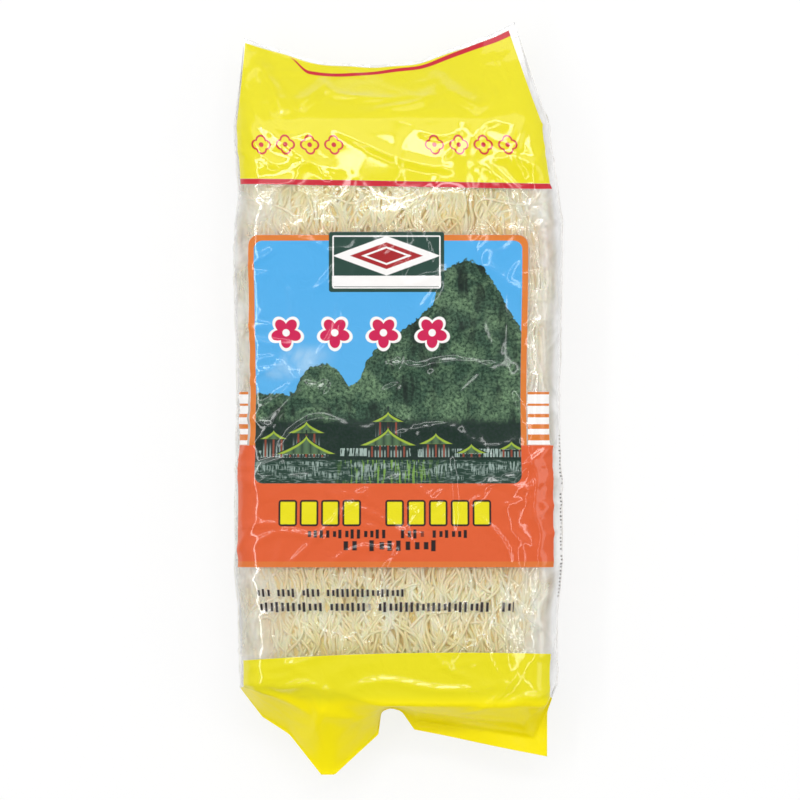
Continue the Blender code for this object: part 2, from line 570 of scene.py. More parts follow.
class PrintedPicture:
    """Lays fields of colour and simple shapes over one another, in millimetres on the film."""

    def __init__(self, tree: Tree, x: Number, y: Number, place) -> None:
        """Starts a picture.

        Args:
            tree: The material's nodes.
            x: Millimetres across the panel from its middle.
            y: Millimetres along the pack from its middle.
            place: The same as one vector socket, for noise.
        """
        self.tree = tree
        self.x = x
        self.y = y
        self.place = place
        self.colour = ink(255, 255, 255)
        self.cover = None

    def lay(self, mask: Number, colour) -> None:
        """Prints a colour, opaque, where the mask is 1."""
        self.colour = self.tree.blend(mask, self.colour, colour)
        self.cover = mask if self.cover is None else self.cover.most(mask)

    def tint(self, mask: Number, colour) -> None:
        """Changes the colour where the mask is 1, and prints nowhere else."""
        self.colour = self.tree.blend(mask, self.colour, colour)

    def box(self, left: float, right: float, low: float, high: float, radius: float = 0.4) -> Number:
        """A rectangle with rounded corners: 1 inside it and 0 outside."""
        return self.box_distance(left, right, low, high, radius).inside()

    def box_distance(self, left, right, low, high, radius) -> Number:
        """The distance to a rectangle with rounded corners, less than 0 inside it."""
        dx = abs(self.x - (left + right) / 2) - ((right - left) / 2 - radius)
        dy = abs(self.y - (low + high) / 2) - ((high - low) / 2 - radius)
        apart = (dx.most(0.0) ** 2 + dy.most(0.0) ** 2) ** 0.5
        return apart + dx.most(dy).least(0.0) - radius

    def repeated(self, start: float, pitch: float, count: int) -> Number:
        """Millimetres from the middle of the nearest of several places in a row across the panel."""
        index = ((self.x - start) * (1 / pitch) + 0.5).floor().most(0.0).least(count - 1.0)
        return self.x - start - index * pitch

    def blossom(self, dx: Number, dy: Number, radius: float, petals: int, depth: float) -> Number:
        """The distance to a flower's outline, less than 0 inside it.

        Args:
            dx: Millimetres across from its middle.
            dy: Millimetres along from its middle.
            radius: Its petals' reach.
            petals: How many it has.
            depth: How deep the notches between its petals are, as a share of the reach.

        Returns:
            The distance.
        """
        turn = dy.angle_with(dx)
        edge = abs((turn * (petals / 2) + math.pi / 4 * (petals % 2)).cosine()) * (depth * radius)
        return (dx**2.0 + dy**2.0) ** 0.5 - edge - radius * (1 - depth)

    def small_print(self, left, right, middle, height, pitch) -> Number:
        """A line of small bars in uneven groups, in place of words.

        Args:
            left: Where the line starts.
            right: Where it ends.
            middle: Its height on the panel.
            height: How high its bars are.
            pitch: The distance from one bar to the next.

        Returns:
            1 on the bars and 0 elsewhere.
        """
        cell = (self.x - left) * (1 / pitch)
        index = cell.floor()
        chance = self.tree.chance(index + middle)
        bar = abs(cell - index - 0.5 + (chance - 0.5) * 0.25).rise(0.34, 0.18)
        shown = chance.rise(0.14, 0.16)
        tall = abs(self.y - middle) - (chance * 0.25 + 0.28) * height
        span = abs(self.x - (left + right) / 2) - (right - left) / 2
        return bar * shown * tall.inside(0.12) * span.inside(0.05)

    def skyline(self, points: tuple) -> Number:
        """The height of a hill's outline over the panel.

        Args:
            points: Its places from left to right, as (x, y).

        Returns:
            The outline's y at each x.
        """
        left, right = points[0][0], points[-1][0]
        low = min(y for _, y in points)
        high = max(y for _, y in points)
        share = (self.x - left) * (1 / (right - left))
        ramp = self.tree.node("ShaderNodeValToRGB", {}, {"Fac": share})
        stops = ramp.color_ramp.elements
        while len(stops) < len(points):
            stops.new(1.0)
        for stop, (x, y) in zip(stops, points):
            height = (y - low) / (high - low)
            stop.position = (x - left) / (right - left)
            stop.color = (height, height, height, 1.0)
        return Number(self.tree, ramp.outputs["Color"]) * (high - low) + low


@dataclass(frozen=True)
class FrontPrint:
    """Everything printed on the front panel, in millimetres.

    Attributes:
        inks: The inks.
        left: The panel's left edge.
        right: Its right edge.
        band_low: The middle of the red line under the top band.
        line_half: Half that line's width.
        tilt: How much the band's lower edge sinks for each millimetre to the right.
        motif_row: The height of the rings on the band.
        blossom_row: The height of the blossoms on the sky.
        stripe_pitch: From one stripe of the flanks to the next.
        pavilions: Each roof's middle, tip and half width.
        far_hill: The small hill's outline.
        near_hill: The large hill's outline.
    """

    inks: Inks = field(default_factory=Inks)
    left: float = -67.5
    right: float = 64.4
    band_low: float = 88.1
    line_half: float = 1.15
    tilt: float = 0.0165
    motif_row: float = 104.2
    blossom_row: float = 27.0
    stripe_pitch: float = 4.72
    pavilions: tuple = (
        (-51.5, -12.5, 6.5), (-38.0, -8.8, 8.5), (-38.0, -14.6, 13.0), (-4.3, -4.8, 7.5),
        (-4.3, -11.4, 12.5), (15.4, -13.6, 8.0), (30.0, -18.0, 7.0), (46.5, -17.0, 6.0),
    )
    far_hill: tuple = (
        (-60.5, -8.0), (-50.0, -3.0), (-43.6, 0.9), (-40.6, 8.2), (-36.2, 13.4), (-29.6, 14.4),
        (-24.5, 11.2), (-20.8, 5.0), (-10.0, -4.0),
    )
    near_hill: tuple = (
        (-24.0, 2.0), (-15.6, 8.2), (-13.4, 14.9), (-8.2, 21.5), (0.0, 27.0), (8.0, 33.3),
        (14.0, 38.5), (15.4, 43.7), (18.3, 52.6), (22.7, 55.0), (29.3, 57.4), (34.5, 53.9),
        (40.4, 45.0), (46.3, 34.7), (51.0, 27.0),
    )

    def print_on(self, picture: PrintedPicture, share_to_edge: Number) -> None:
        """Prints the front.

        Args:
            picture: What it is printed on.
            share_to_edge: How far out on the collar or tail the film is, 0 on the brick.
        """
        self.bands(picture, share_to_edge)
        self.block(picture)
        self.landscape(picture)
        self.badge(picture)
        self.motifs(picture)
        self.captions(picture)

    def bands(self, p: PrintedPicture, share_to_edge: Number) -> None:
        """The yellow bands at both ends, with their red lines."""
        panel = p.box(self.left, self.right, -400, 400)
        slope = p.y + p.x * self.tilt
        margin = share_to_edge.rise(0.965, 0.945)
        top = slope.rise(self.band_low + 1.0, self.band_low + 1.3) * panel
        p.lay(top * (p.y.rise(0, 1) * margin).most(0.0), self.inks.yellow)
        p.lay(abs(slope - self.band_low).inside_of(self.line_half) * panel, self.inks.red)
        rise = p.x.rise(-35, -45) * 0.15 + p.x.rise(-26, 14) * 0.105 + p.x.rise(20, 50) * 0.04
        collar_line = abs(share_to_edge - 0.785 - rise)
        along_line = p.x.rise(-46, -41) * p.y.rise(100, 102)
        width = p.x.rise(-46, -32) * 0.016 + 0.013
        p.lay((collar_line - width).rise(0.006, -0.006) * along_line * panel, self.inks.red)
        hem = (p.x - 25.0) ** 2.0 * 0.0004 + p.y + 104.2
        p.lay(hem.rise(0.15, -0.15) * panel, self.inks.yellow)
        p.tint(p.y.rise(-121.0, -127.0), self.inks.deep_yellow)

    def block(self, p: PrintedPicture) -> None:
        """The orange frame, the striped flanks and the red-orange block under the landscape."""
        p.lay(p.box(-61.4, 52.9, -50, 67.2, 4.4), self.inks.orange)
        row = (1.9 - p.y) * (1 / self.stripe_pitch)
        index = row.floor()
        within = (row - index) * self.stripe_pitch
        stripe = within.rise(0.1, 0.3) * (4.1 - index * 0.5 - within).rise(0.0, 0.25)
        flanks = p.box(self.left, -62.4, -19.2, 2.8, 0.1).most(p.box(53.3, 62.6, -19.2, 2.8, 0.1))
        p.lay(flanks, p.tree.blend(stripe * p.y.rise(2.1, 1.9), self.inks.orange, self.inks.white))
        p.lay(p.box(self.left, self.right - 0.6, -69.3, -19.2, 0.3), self.inks.red_orange)
        p.tint(p.box(self.left, self.right - 0.6, -69.3, -66.9, 0.2), self.inks.strip)

    def landscape(self, p: PrintedPicture) -> None:
        """A plain view of steep wooded hills over a lake: sky, hills, pavilions and water."""
        view = p.box(-58.9, 50.4, -34.8, 64.8, 3.4)
        tree = p.tree
        haze = tree.noise(p.place, 0.05, 4.0, 0.6)
        sky = tree.blend(p.y.rise(62, -6), self.inks.sky_high, self.inks.sky_low)
        clouds = haze.rise(0.46, 0.70) * abs(p.y - 15.0).rise(9, 2) * abs(p.x + 44.0).rise(20, 6)
        p.tint(view, tree.blend(clouds * 0.55, sky, self.inks.cloud))
        leaves = tree.noise(p.place, 0.85, 7.0, 0.3)
        ragged = (tree.noise(p.place, 0.42, 6.0, 0.2) - 0.5) * 5.0
        far_hill = p.skyline(self.far_hill)
        near_hill = p.skyline(self.near_hill)
        wood = self.foliage(p, leaves)
        p.tint(view * (p.y - far_hill - ragged * 0.6).inside(0.3), wood)
        p.tint(view * (p.y - near_hill - ragged).inside(0.3), wood)
        shore = tree.blend(leaves.rise(0.35, 0.6), self.inks.eaves, self.inks.hill_dark)
        p.tint(view * (p.y + 9.0 - ragged).inside(2.0), shore)
        self.lake(p, view)
        for middle, peak, reach in self.pavilions:
            self.pavilion(p, view, middle, peak, reach)

    def foliage(self, p: PrintedPicture, leaves: Number):
        """The colour of wooded slopes: dark, with lighter crowns and a few bare rocks."""
        tree = p.tree
        crowns = tree.noise(p.place, 0.12, 4.0, 0.9)
        clefts = tree.noise(tree.stretched(p.place, (0.16, 0.05, 1.0)), 1.0, 4.0, 0.6)
        fine = tree.noise(p.place, 2.2, 3.0, 0.4)
        mass = tree.noise(p.place, 0.075, 3.0, 0.5)
        rough = leaves * 0.75 + fine * 0.25
        base = tree.blend(rough.rise(0.32, 0.74), self.inks.hill_dark, self.inks.hill_mid)
        lit = (crowns.rise(0.44, 0.64) * 0.65 + mass.rise(0.45, 0.62) * 0.5) * rough.rise(0.30, 0.72)
        base = tree.blend(lit, base, self.inks.hill_light)
        shaded = mass.rise(0.62, 0.40) * 0.5 + 0.35
        return tree.blend(clefts.rise(0.50, 0.34) * shaded, base, self.inks.cleft)

    def lake(self, p: PrintedPicture, view: Number) -> None:
        """Dark water under the shore, with a low terrace and its reflections."""
        tree = p.tree
        ripples = tree.noise(tree.stretched(p.place, (0.35, 1.6, 1.0)), 1.0, 3.0)
        gleam = tree.noise(tree.stretched(p.place, (0.9, 0.12, 1.0)), 1.0, 2.0)
        water = tree.blend(ripples.rise(0.5, 0.72) * 0.5, self.inks.water, self.inks.wall)
        near_middle = abs(p.x + 4.0).rise(26, 8)
        water = tree.blend(gleam.rise(0.5, 0.62) * near_middle * 0.8, water, self.inks.glint)
        p.tint(view * p.y.rise(-25.0, -25.4), water)
        posts = tree.noise(tree.stretched(p.place, (1.5, 0.2, 1.0)), 1.0, 2.0)
        terrace = p.box(-58, -30, -24.2, -21.4, 0.2).most(p.box(-24, 5, -23.6, -20.4, 0.2))
        terrace = terrace.most(p.box(8, 19, -24.0, -20.8, 0.2)).most(p.box(22, 50, -24.0, -20.6, 0.2))
        p.tint(view * terrace * posts.rise(0.42, 0.54), self.inks.wall)
        breaks = tree.noise(tree.stretched(p.place, (0.10, 0.30, 1.0)), 1.0, 2.0)
        rails = posts.rise(0.44, 0.58) * breaks.rise(0.44, 0.6)
        p.tint(view * p.y.rise(-25.6, -26.2) * p.y.rise(-34.0, -32.0) * rails * 0.8, self.inks.wall)

    def pavilion(self, p: PrintedPicture, view: Number, middle, peak, reach) -> None:
        """A small open hall: a swept roof on posts.

        Args:
            p: The picture.
            view: The landscape's own area.
            middle: Where the hall stands, across the panel.
            peak: The height of its roof's tip.
            reach: Half its roof's width.
        """
        away = abs(p.x - middle)
        fall = (away * (1 / reach)) ** 0.62 * (reach * 0.62)
        under = (p.y - peak + fall).inside(0.15) * away.rise(reach, reach - 0.3)
        roof = under * p.y.rise(peak - reach * 0.62 - 0.2, peak - reach * 0.62 + 0.1)
        hall = away.rise(reach * 0.72, reach * 0.68) * (p.y - peak + reach * 0.66).inside(0.2)
        hall = hall * p.y.rise(-24.2, -23.8)
        posts = abs(((p.x - middle) * 0.95).cosine()).rise(0.90, 0.97)
        panes = abs(((p.x - middle) * 2.4).cosine()).rise(0.62, 0.85)
        panes = panes * p.y.rise(peak - reach * 0.75, -22.0) * 0.7
        between = p.tree.blend(panes, self.inks.eaves, self.inks.wall)
        p.tint(view * hall, p.tree.blend(posts, between, self.inks.post))
        p.tint(view * roof, self.inks.eaves)
        under_ridge = p.y - peak + fall
        p.tint(view * roof * (under_ridge + 0.5).inside(0.2), self.inks.roof)
        lit = abs(((p.x - middle) * 0.9).cosine()) * 0.5 + 0.15
        tiles = p.tree.blend(lit, self.inks.eaves, self.inks.tile)
        p.tint(view * roof * (under_ridge + 1.5).inside(0.35), tiles)
        finial = (away - 0.35).inside(0.15) * (abs(p.y - peak - 0.7) - 1.0).inside(0.15)
        p.tint(view * finial, self.inks.eaves)

    def badge(self, p: PrintedPicture) -> None:
        """A plain dark badge with a pale rim, a red lozenge and a pale foot."""
        p.lay(p.box(-28.4, 18.6, 43.7, 68.4, 1.0), self.inks.badge)
        rim = abs(p.box_distance(-26.9, 17.1, 45.2, 66.9, 0.6) + 0.25).inside_of(0.28)
        p.tint(rim, self.inks.white)
        p.tint(p.box(-27.1, 17.3, 46.0, 50.4, 0.2), self.inks.white)
        lozenge = abs(p.x + 4.9) * 0.37 + abs(p.y - 58.6)
        p.tint((lozenge - 8.1).inside(0.2), self.inks.white)
        p.tint((lozenge - 5.5).inside(0.2), self.inks.badge_red)
        p.tint((abs(lozenge - 3.4) - 0.4).inside(0.1), self.inks.white)

    def motifs(self, p: PrintedPicture) -> None:
        """Rows of plain ornaments: rings on the band, blossoms on the sky and blocks on the red."""
        for start, pitch in ((-55.5, 10.2), (17.5, 10.3)):
            dx = p.repeated(start, pitch, 4)
            ring = abs(p.blossom(dx, p.y - self.motif_row, 4.3, 4, 0.25) + 0.6).inside_of(0.42)
            dot = ((dx**2.0 + (p.y - self.motif_row) ** 2.0) ** 0.5 - 1.0).inside()
            p.tint(ring.most(dot), self.inks.red)
        dx = p.repeated(-46.2, 20.0, 4)
        flower = p.blossom(dx, p.y - self.blossom_row, 7.6, 5, 0.34)
        p.tint(flower.inside(0.2), self.inks.white)
        p.tint((flower + 1.3).inside(0.2), self.inks.magenta)
        p.tint(((dx**2.0 + (p.y - self.blossom_row) ** 2.0) ** 0.5 - 1.5).inside(), self.inks.white)
        for start, pitch, count in ((-45.2, 8.7, 4), (-1.6, 8.9, 5)):
            dx = abs(p.repeated(start, pitch, count)) - 2.6
            dy = abs(p.y + 47.0) - 4.2
            block = (dx.most(0.0) ** 2 + dy.most(0.0) ** 2) ** 0.5 - 1.2
            p.tint(block.inside(0.2), self.inks.black)
            p.tint((block + 0.8).inside(0.2), self.inks.yellow)

    def captions(self, p: PrintedPicture) -> None:
        """Lines of small bars where a pack has its small print."""
        lines = (
            (-37.7, 28.2, -55.6, 3.6, 2.55),
            (-26.8, 15.9, -60.4, 4.4, 3.6),
            (-58.8, 2.7, -79.8, 3.4, 2.05),
            (-58.4, 48.1, -85.6, 4.0, 2.25),
        )
        for line in lines:
            p.lay(p.small_print(*line), self.inks.black)


@dataclass(frozen=True)
class BackPrint:
    """What is printed on the back panel: the same bands round a plain panel of small print."""

    inks: Inks = field(default_factory=Inks)
    half: float = 62.0

    def print_on(self, p: PrintedPicture, share_to_edge: Number) -> None:
        """Prints the back.

        Args:
            p: What it is printed on.
            share_to_edge: How far out on the collar or tail the film is, 0 on the brick.
        """
        panel = p.box(-self.half, self.half, -400, 400)
        p.lay(panel * p.y.rise(89.1, 89.4) * share_to_edge.rise(0.965, 0.945), self.inks.yellow)
        p.lay(panel * abs(p.y - 88.1).inside_of(1.15), self.inks.red)
        p.lay(panel * p.y.rise(-103.9, -104.2), self.inks.yellow)
        p.lay(p.box(-48, 48, -60, 60, 4.4), self.inks.orange)
        p.tint(p.box(-45.6, 45.6, -57.6, 57.6, 3.2), ink(250, 240, 190))
        row = p.y * (1 / 7.0)
        index = (row + 0.5).floor()
        within = (row - index) * 7.0
        cell = (p.x + index * 3.7) * (1 / 2.4)
        chance = p.tree.chance(cell.floor() + index * 57.0)
        bars = abs(cell - cell.floor() - 0.5).rise(0.42, 0.3) * chance.rise(0.16, 0.18)
        bars = bars * (abs(within) - 1.3).inside() * p.box(-40, 40, -52, 52, 0.2)
        p.tint(bars, self.inks.black)


# --- Finishes ---


@dataclass(frozen=True)
class FilmFinish:
    """Thin clear film, crinkled and glossy, with opaque inks under its gloss."""

    seam: float
    gloss: float = 0.085
    haze: float = 0.03
    # Whitening near the sides and on the right rim: painted sheen where the film turns away.
    side_painted_sheen: float = 0.44
    rim_painted_sheen: float = 0.34
    ink_roughness: float = 0.38
    film_roughness: float = 0.07

    def build(self) -> bpy.types.Material:
        """Makes the film's material."""
        tree = Tree.of_material("printed_film")
        flat = tree.node("ShaderNodeUVMap", {"uv_map": "film"}).outputs[0]
        in_mm = {0: flat, "Scale": 1 / MM}
        place = tree.node("ShaderNodeVectorMath", {"operation": "SCALE"}, in_mm).outputs[0]
        u, v = tree.part(place, 0), tree.part(place, 1)
        edge = Number(tree, tree.node("ShaderNodeAttribute", {"attribute_name": "out"}).outputs["Fac"])
        front = PrintedPicture(tree, u, v, place)
        FrontPrint().print_on(front, edge)
        half_way = self.seam / MM
        back = PrintedPicture(tree, (half_way - abs(u)) * self.sign(u), v, place)
        BackPrint().print_on(back, edge)
        on_front = abs(u).rise(half_way / 2 + 0.5, half_way / 2 - 0.5)
        colour = tree.blend(on_front, back.colour, front.colour)
        cover = front.cover * on_front + back.cover * (1 - on_front)
        side = self.side_print(front, u, v)
        colour = tree.blend(side, colour, Inks().black)
        cover = cover.most(side)
        normal = self.crinkles(tree)
        wear = tree.noise(place, 0.03, 3.0, 0.5)
        printed = tree.shader(
            "BsdfPrincipled",
            {
                "Base Color": colour,
                "Roughness": wear * 0.12 + (self.ink_roughness - 0.06),
                "Specular IOR Level": 0.15,
                "Coat Weight": 1.0 - v.rise(-119, -126) * 0.85,
                "Coat Roughness": 0.07,
                "Coat IOR": 1.52,
                "Normal": normal,
            },
        )
        return tree.finish(tree.layered(cover, self.clear_film(tree, place, normal), printed))

    def sign(self, number: Number) -> Number:
        """-1 where the number is under 0 and 1 where it is over."""
        return number.rise(-0.01, 0.01) * 2.0 - 1.0

    def side_print(self, p: PrintedPicture, u: Number, v: Number) -> Number:
        """Two lines of small bars that run along the right side."""
        turned = PrintedPicture(p.tree, v, u, p.place)
        first = turned.small_print(-82, -15, 69.4, 2.6, 1.5)
        return first.most(turned.small_print(-70, -22, 74.0, 2.2, 1.3))

    def crinkles(self, tree: Tree):
        """The film's fine crinkles, as a bent normal."""
        place = tree.node("ShaderNodeTexCoord").outputs["Object"]
        broad = abs(tree.noise(place, 120.0, 2.0, 0.8) - 0.5)
        fine = abs(tree.noise(place, 420.0, 2.0, 0.6) - 0.5)
        return tree.bump(broad * 1.0 + fine * 0.2, 0.00028)

    def clear_film(self, tree: Tree, place, normal):
        """The unprinted film: see-through, slightly milky, with a mirror's gloss. Towards the sides and
        the right rim it is painted whiter: painted sheen where the film turns away from view.
        """
        milk = tree.noise(place, 0.06, 4.0, 0.8)
        white = ink(250, 250, 250)
        veil = tree.shader("BsdfPrincipled", {"Base Color": white, "Roughness": 0.45, "Normal": normal})
        across = tree.part(place, 0)
        # Painted sheen: a white veil near the sides, where the film turns away and reflects more.
        side_sheen_mask = abs(across).rise(38, 66) * abs(across).rise(82, 70)
        side_sheen_mask = side_sheen_mask * (milk.rise(0.3, 0.7) * 0.6 + 0.6)
        # Painted sheen on the film's right rim.
        rim = across.rise(62, 67) * across.rise(84, 76)
        # The film's own slight milkiness, plus the painted sheen near the sides and the rim.
        haze = milk.rise(0.35, 0.75) * self.haze + side_sheen_mask * self.side_painted_sheen + rim * self.rim_painted_sheen
        body = tree.layered(haze, tree.shader("BsdfTransparent"), veil)
        clear = {"Color": ink(255, 255, 255), "Roughness": self.film_roughness, "Normal": normal}
        facing = Number(tree, tree.shader("Fresnel", {"IOR": 1.5, "Normal": normal}))
        gloss = (facing * (self.gloss / 0.04)).least(0.8)
        return tree.layered(gloss, body, tree.shader("BsdfGlossy", clear))


@dataclass(frozen=True)
class NoodleFinish:
    """Dried rice noodles: cream and slightly translucent. Near the front their colour holds a painted
    reflection of the yellow and orange inks, and they glow faintly: painted light that stands in for
    light passing through them.
    """

    name: str
    cream: tuple = ink(250, 236, 194)
    pale: tuple = ink(253, 247, 224)
    warm: tuple = ink(246, 222, 150)
    # Painted reflection: the colours that the yellow and orange inks would cast onto the strands near
    # the front.
    painted_yellow_reflection: tuple = ink(226, 206, 90)
    painted_orange_reflection: tuple = ink(226, 176, 110)
    roughness: float = 0.42
    # How strongly the painted ink reflection tints the strands.
    glow: float = 0.35
    # Painted glow: emission strength that brightens the strands in place of light passing through them.
    painted_glow: float = 0.02

    def build(self) -> bpy.types.Material:
        """Makes the noodles' material."""
        tree = Tree.of_material(self.name)
        place = tree.node("ShaderNodeTexCoord").outputs["Object"]
        y, z = tree.part(place, 1) * (1 / MM), tree.part(place, 2) * (1 / MM)
        strands = tree.noise(tree.stretched(place, (420.0, 26.0, 420.0)), 1.0, 2.0)
        clumps = tree.noise(place, 60.0, 2.0)
        colour = tree.blend(strands.rise(0.35, 0.65), self.cream, self.pale)
        colour = tree.blend(clumps.rise(0.5, 0.8) * 0.5, colour, self.warm)
        # Painted reflection of the inks, only on the front, near the yellow bands and the orange frame.
        near_front = z.rise(30, 40)
        yellow = abs(y - 92).rise(14, 2).most(abs(y + 108).rise(18, 3))
        orange = abs(y - 62).rise(14, 4).most(abs(y + 64).rise(16, 4))
        colour = tree.blend(orange * near_front * self.glow, colour, self.painted_orange_reflection)
        colour = tree.blend(yellow * near_front * self.glow, colour, self.painted_yellow_reflection)
        surface = tree.shader(
            "BsdfPrincipled",
            {
                "Base Color": colour,
                "Roughness": strands * 0.16 + (self.roughness - 0.08),
                # Painted glow: the strands give off a little light of their own colour.
                "Emission Color": colour,
                "Emission Strength": self.painted_glow,
                "Subsurface Weight": 0.2,
                "Subsurface Scale": 0.0025,
                "Normal": tree.bump(strands, 0.0001, 0.5),
            },
        )
        return tree.finish(surface)


# --- The film bag ---


@dataclass
class FilmBag:
    """The clear printed bag: one sheet of film round the pack, sealed at both ends."""

    shape: PackShape
    cell: float = 0.00121
    collar_rows: int = 30
    tail_rows: int = 30
    collar_height: float = 0.0260
    tail_height: float = 0.0240
    flat_from: float = 0.55
    folds: tuple = (
        Fold(((-16, 79), (-8, 76), (2, 77.5), (12, 82), (22, 84.5), (31, 82)), 0.72, 4.4),
        Fold(((-10, 82), (2, 80.5), (14, 86)), 0.38, 1.9),
        Fold(((8, 13.0), (24, 14.6), (48, 12.0)), 0.64, 3.8),
        Fold(((-14, 15), (6, 11), (28, 18)), 0.16, 1.1),
        Fold(((-30, 40), (-10, 46), (8, 43)), 0.12, 1.2),
        Fold(((55, -14), (53.8, -23), (56.7, -32), (55, -46), (58, -55), (56.5, -68)), 0.80, 2.7),
        Fold(((26, -38), (40, -34.5), (54, -30)), 0.46, 2.2),
        Fold(((34, -32), (44, -36.5), (52, -35)), 0.42, 2.0),
        Fold(((44, -40), (50, -37), (56, -38)), 0.40, 1.9),
        Fold(((-46, -70), (-34, -58), (-20, -44), (-12, -38)), 0.62, 2.3),
        Fold(((-30, -69), (-14, -61), (6, -66)), 0.46, 2.3),
        Fold(((-4, -44), (8, -46), (22, -39)), 0.42, 2.1),
        Fold(((-28, -40), (-2, -52), (8, -62)), 0.55, 2.1),
        Fold(((30, -46), (42, -58), (46, -68)), 0.58, 2.2),
        Fold(((-62, -62), (-50, -55), (-40, -56)), 0.46, 2.2),
        Fold(((-36, -90), (-27, -101), (-20, -99), (-6, -92)), 0.48, 2.3),
        Fold(((-30, -97), (-10, -101), (8, -92)), 0.34, 1.8),
        Fold(((10, -84), (18, -96), (30, -99)), 0.48, 2.3),
        Fold(((22, -88), (30, -92), (34, -99)), 0.36, 1.8),
        Fold(((12, -98), (24, -101), (36, -97)), 0.32, 1.8),
        Fold(((50, -78), (58, -86), (55, -97)), 0.50, 2.4),
        Fold(((-60, -112), (-40, -108), (-22, -101)), 0.50, 2.8),
        Fold(((-40, -76), (-22, -73), (-6, -77)), 0.26, 1.5),
        Fold(((-62, 116), (-57, 103), (-50, 94)), 0.7, 2.8),
        Fold(((-56, 113), (-46, 108), (-34, 110)), 0.5, 2.6),
        Fold(((-50, 108), (-38, 99), (-28, 90)), 0.8, 3.2),
        Fold(((-26, 112), (-12, 105), (4, 98), (24, 94)), 0.7, 3.2),
        Fold(((-44, 94), (-34, 97), (-24, 93)), 0.4, 2.0),
        Fold(((38, 97), (50, 99), (62, 94)), 0.4, 2.2),
        Fold(((-60, 143), (-52, 132), (-46, 118)), 2.2, 5.0),
        Fold(((-40, 121), (-33, 131), (-26, 140)), 2.0, 5.0),
        Fold(((-30, 142), (-22, 132), (4, 128)), 1.6, 4.4),
        Fold(((24, 144), (30, 130), (40, 119)), 2.0, 5.0),
        Fold(((-6, 121), (14, 126), (26, 137)), 1.5, 4.4),
        Fold(((10, 111), (20, 108), (30, 110)), 0.4, 2.4),
        Fold(((-58, 137), (-52, 134), (-47, 129)), 0.5, 2.2),
        Fold(((-20, 126), (0, 129), (22, 131)), 0.7, 3.4),
        Fold(((40, 120), (47, 126), (45, 137)), 0.7, 3.4),
        Fold(((56, 113), (50, 100), (54, 90)), 0.8, 3.0),
        Fold(((-62, -120), (-50, -127), (-36, -131)), 1.6, 4.0),
        Fold(((-31, -124), (-36, -138), (-44, -150)), 1.8, 4.0),
        Fold(((-36, -126), (-22, -134), (-14, -146)), 1.2, 3.6),
        Fold(((-52, -121), (-40, -117), (-28, -122)), 0.9, 3.0),
        Fold(((-24, -120), (-6, -116), (20, -120), (48, -117)), 0.8, 3.0),
        Fold(((4, -133), (30, -137), (64, -136)), 0.8, 3.0),
        Fold(((12, -143), (36, -145), (62, -148)), 0.6, 2.5),
        Fold(((40, -128), (52, -123), (64, -121)), 0.7, 2.5),
    )
    loose_folds: int = 190
    crumples: tuple = ((0.0007, 0.052, 5, 1), (0.00026, 0.021, 8, -1), (0.00003, 0.007, 13, 1))

    def build(self) -> bpy.types.Object:
        """Makes the bag, with its own flat coordinates for the print.

        Returns:
            The film's object.
        """
        shape = self.shape
        columns = round(2 * shape.seam / self.cell)
        body_rows = round((shape.brick_top - shape.brick_bottom) / self.cell)
        rows = self.collar_rows + body_rows + self.tail_rows
        film = self.sheet(columns, rows)
        u = np.linspace(-shape.seam, shape.seam, columns + 1)[None, :].repeat(rows + 1, axis=0)
        share = np.concatenate(
            (
                np.linspace(1, 0, self.collar_rows, endpoint=False),
                np.zeros(body_rows),
                np.linspace(0, 1, self.tail_rows + 1),
            )
        )[:, None]
        down = np.clip((np.arange(rows + 1) - self.collar_rows) / body_rows, 0, 1)[:, None]
        is_collar = (np.arange(rows + 1) < self.collar_rows)[:, None]
        points, v = self.lie_flat(u, share, down, is_collar)
        points = self.crumple(points, u, v, share)
        self.place(film, points, u, v, share)
        self.close(film)
        film.data.materials.append(FilmFinish(shape.seam).build())
        return film

    def sheet(self, columns: int, rows: int) -> bpy.types.Object:
        """A flat grid of film that is then wrapped round the pack."""
        bpy.ops.object.select_all(action="DESELECT")
        bpy.ops.mesh.primitive_grid_add(x_subdivisions=columns, y_subdivisions=rows, size=1.0)
        film = bpy.context.active_object
        film.name = film.data.name = "film_bag"
        return film

    def lie_flat(self, u, share, down, is_collar):
        """The film's places before it is crumpled.

        Args:
            u: How far round the pack each place is.
            share: How far each row is from the brick's end to the film's free edge.
            down: How far each row is from the brick's top end to its bottom end.
            is_collar: Which rows belong to the collar.

        Returns:
            The places, and how far along the pack each is on the flat film.
        """
        shape = self.shape
        w = shape.across(u)
        brick_y = mix(shape.top_of_brick(w), shape.bottom_of_brick(w), down)
        x, z, _, _ = shape.section(u, brick_y)
        edges = [np.where(is_collar, a, b) for a, b in zip(shape.collar_edge(w), shape.tail_edge_at(w))]
        front = np.clip((shape.seam - np.abs(u) - shape.panel) / (shape.seam - 2 * shape.panel), 0, 1)
        level = self.flat_level(w, is_collar)
        shoulder = np.where(is_collar, shape.shoulder, mix(0.95, 0.65, ease((w + 0.25) / 0.4)))
        descent = np.minimum(share / shoulder, 1.0)
        closing = mix(descent, ease(descent), 0.35)
        thin = mix(0.0012, 0.0, share)
        flat_z = level + thin * (2 * front - 1)
        places = np.stack(
            (mix(x, edges[0], share), mix(brick_y, edges[1], share), mix(z, flat_z, closing)), axis=-1
        )
        length = np.where(is_collar, shape.collar_length, -shape.tail_length)
        return places, brick_y + share * length

    def flat_level(self, w, is_collar):
        """The flat film's height over the table, pleated across the pack."""
        collar = self.collar_height - 0.004 * (1 - w * w)
        collar = collar + 0.0022 * np.sin(3 * math.pi * w) * (1 - w * w)
        tail = self.tail_height - 0.002 * ease(-w) + 0.003 * np.cos(4 * math.pi * w) * (1 - w * w)
        return np.where(is_collar, collar, tail)

    def outward(self, points: np.ndarray) -> np.ndarray:
        """The direction that points out of the film at each place."""
        along = np.gradient(points, axis=0)
        around = np.gradient(points, axis=1)
        normal = np.cross(around, -along)
        length = np.linalg.norm(normal, axis=-1, keepdims=True)
        return normal / np.maximum(length, 1e-9)

